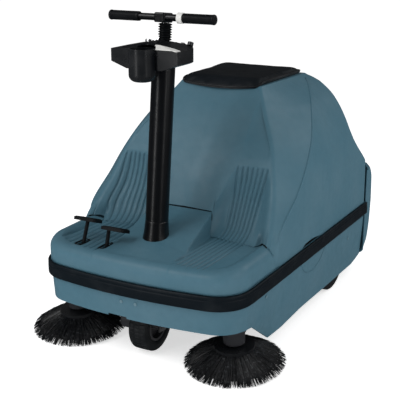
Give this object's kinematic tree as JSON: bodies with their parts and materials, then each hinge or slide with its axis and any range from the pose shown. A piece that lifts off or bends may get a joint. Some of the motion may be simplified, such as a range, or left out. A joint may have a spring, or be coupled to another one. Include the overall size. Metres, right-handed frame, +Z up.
{
  "type": "ride-on sweeper",
  "caption": "Battery ride-on floor sweeper with steering column, lift-up seat hood, side brooms, main broom and rear slide-out hopper.",
  "frame": {"origin": "on the floor, under the middle of the machine's length and width", "axes": "+Z up, -Y the way the machine drives forward, +X the operator's left when seated facing -Y"},
  "size_m": [1.036, 1.474, 1.229],
  "materials": {
    "blue_plastic": "slate blue-grey moulded polyethylene, satin, fine texture",
    "black_rubber": "satin black extruded rubber",
    "black_plastic": "black moulded plastic, semi-gloss",
    "black_paint": "black powder coat, satin",
    "bare_steel": "zinc plated steel",
    "seat_vinyl": "black vinyl with gloss piping",
    "tyre_rubber": "dark grey solid rubber",
    "wheel_hub": "dark moulded nylon",
    "bristle": "black polypropylene bristles",
    "motor": "black enamelled motor casing",
    "white_plastic": "white moulded plastic",
    "filter_paper": "pleated filter paper",
    "battery_case": "battery case with lead posts",
    "key_metal": "nickel plated key",
    "red_button": "red gloss button"
  },
  "bodies": {
    "chassis": {"main_frame": "black_paint", "lower_skirt": "blue_plastic", "skirt_screws": "bare_steel", "bumper_band": "black_rubber", "front_deck": "blue_plastic", "steering_column": "black_paint", "column_collar": "black_rubber", "bushes_and_bearings": "bare_steel", "console_housing": "black_plastic", "console_strip": "white_plastic", "cup_holder": "black_plastic", "gauge_and_key_barrel": "black_plastic", "rear_stub_axles": "bare_steel", "broom_housing": "black_paint", "broom_housing_flaps": "black_rubber", "main_broom_motor": "motor", "broom_belt": "black_rubber", "rear_bulkhead": "black_paint", "batteries": "battery_case", "filter_plenum": "black_paint", "panel_filter": "filter_paper", "fan_housing": "black_plastic", "control_box": "black_plastic", "pedal_bracket": "black_paint"},
    "hood": {"hood_shell": "blue_plastic", "hood_hand_grips": "black_plastic", "seat_board": "black_plastic", "seat_pad": "seat_vinyl", "hood_hinge_leaf": "bare_steel"},
    "steering": {"steering_fork": "bare_steel", "stem_boot": "black_rubber", "handlebar": "black_paint", "handlebar_grips": "black_rubber", "grip_collar": "white_plastic", "traction_motor": "motor"},
    "front_wheel": {"front_tyre": "tyre_rubber", "front_hub": "wheel_hub"},
    "rear_wheel_left": {"rear_tyre_left": "tyre_rubber", "rear_hub_left": "wheel_hub"},
    "rear_wheel_right": {"rear_tyre_right": "tyre_rubber", "rear_hub_right": "wheel_hub"},
    "side_broom_arm_left": {"side_broom_drive_left": "motor"},
    "side_broom_arm_right": {"side_broom_drive_right": "motor"},
    "side_broom_left": {"side_broom_disc_left": "black_plastic", "side_broom_bristles_left": "bristle"},
    "side_broom_right": {"side_broom_disc_right": "black_plastic", "side_broom_bristles_right": "bristle"},
    "main_broom": {"main_broom_core": "bare_steel", "main_broom_bristles": "bristle"},
    "motor_pulley": {"motor_pulley": "bare_steel"},
    "fan": {"fan_impeller": "black_plastic"},
    "hopper": {"hopper_bin": "black_plastic", "hopper_cover": "blue_plastic", "hopper_handle": "black_paint"},
    "ignition_key": {"ignition_key": "key_metal"},
    "horn_button": {"horn_button": "red_button"},
    "direction_rocker": {"direction_rocker": "black_plastic"},
    "broom_rocker": {"broom_rocker": "black_plastic"},
    "drive_pedal": {"drive_pedal": "black_paint"},
    "brake_pedal": {"brake_pedal": "black_paint"}
  },
  "joints": [
    {"name": "hood_lift", "type": "hinge", "parent": "chassis", "child": "hood", "pos_m": [0, 0.604, 0.507], "axis": [-1, 0, 0], "range_deg": [0, 60]},
    {"name": "steering_turn", "type": "hinge", "parent": "chassis", "child": "steering", "pos_m": [0, -0.522, 0.426], "axis": [0, 0.108, 0.9942], "range_deg": [-50, 50]},
    {"name": "front_wheel_spin", "type": "hinge", "parent": "steering", "child": "front_wheel", "pos_m": [0, -0.572, 0.1], "axis": [1, 0, 0], "continuous": true},
    {"name": "rear_wheel_left_spin", "type": "hinge", "parent": "chassis", "child": "rear_wheel_left", "pos_m": [0.362, 0.298, 0.155], "axis": [1, 0, 0], "continuous": true},
    {"name": "rear_wheel_right_spin", "type": "hinge", "parent": "chassis", "child": "rear_wheel_right", "pos_m": [-0.362, 0.298, 0.155], "axis": [1, 0, 0], "continuous": true},
    {"name": "side_broom_left_float", "type": "hinge", "parent": "chassis", "child": "side_broom_arm_left", "pos_m": [0.206, -0.407, 0.15], "axis": [-1, 0, 0], "range_deg": [0, 2]},
    {"name": "side_broom_right_float", "type": "hinge", "parent": "chassis", "child": "side_broom_arm_right", "pos_m": [-0.206, -0.407, 0.15], "axis": [-1, 0, 0], "range_deg": [0, 2]},
    {"name": "side_broom_left_spin", "type": "hinge", "parent": "side_broom_arm_left", "child": "side_broom_left", "pos_m": [0.338, -0.553, 0.084], "axis": [0, -0.0837, 0.9965], "continuous": true},
    {"name": "side_broom_right_spin", "type": "hinge", "parent": "side_broom_arm_right", "child": "side_broom_right", "pos_m": [-0.338, -0.553, 0.084], "axis": [0, -0.0837, 0.9965], "continuous": true},
    {"name": "main_broom_spin", "type": "hinge", "parent": "chassis", "child": "main_broom", "pos_m": [0, 0.113, 0.139], "axis": [1, 0, 0], "continuous": true},
    {"name": "motor_pulley_spin", "type": "hinge", "parent": "chassis", "child": "motor_pulley", "pos_m": [0.322, -0.097, 0.139], "axis": [1, 0, 0], "continuous": true},
    {"name": "fan_spin", "type": "hinge", "parent": "chassis", "child": "fan", "pos_m": [0, 0.413, 0.414], "axis": [0, 0, 1], "continuous": true},
    {"name": "hopper_slide", "type": "slide", "parent": "chassis", "child": "hopper", "axis": [0, 1, 0], "range_m": [0, 0.26]},
    {"name": "ignition_key_turn", "type": "hinge", "parent": "chassis", "child": "ignition_key", "pos_m": [-0.042, -0.437, 1.1185], "axis": [0, -0.4571, -0.8894], "range_deg": [0, 60]},
    {"name": "horn_button_press", "type": "slide", "parent": "chassis", "child": "horn_button", "axis": [0, -0.4571, -0.8894], "range_m": [0, 0.003], "stiffness_N_per_m": 300},
    {"name": "direction_rocker_tilt", "type": "hinge", "parent": "chassis", "child": "direction_rocker", "pos_m": [0.042, -0.4388, 1.1149], "axis": [1, 0, 0], "range_deg": [-10, 10]},
    {"name": "broom_rocker_tilt", "type": "hinge", "parent": "chassis", "child": "broom_rocker", "pos_m": [0.07, -0.4388, 1.1149], "axis": [1, 0, 0], "range_deg": [-10, 10]},
    {"name": "drive_pedal_press", "type": "hinge", "parent": "chassis", "child": "drive_pedal", "pos_m": [-0.252, -0.587, 0.326], "axis": [1, 0, 0], "range_deg": [0, 18], "stiffness_Nm_per_rad": 6, "springref_deg": -20.05},
    {"name": "brake_pedal_press", "type": "hinge", "parent": "chassis", "child": "brake_pedal", "pos_m": [-0.15, -0.587, 0.326], "axis": [1, 0, 0], "range_deg": [0, 18], "stiffness_Nm_per_rad": 6, "springref_deg": -20.05}
  ],
  "couplings": [
    {"joint": "motor_pulley_spin", "follows": "main_broom_spin", "ratio": 2}
  ]
}
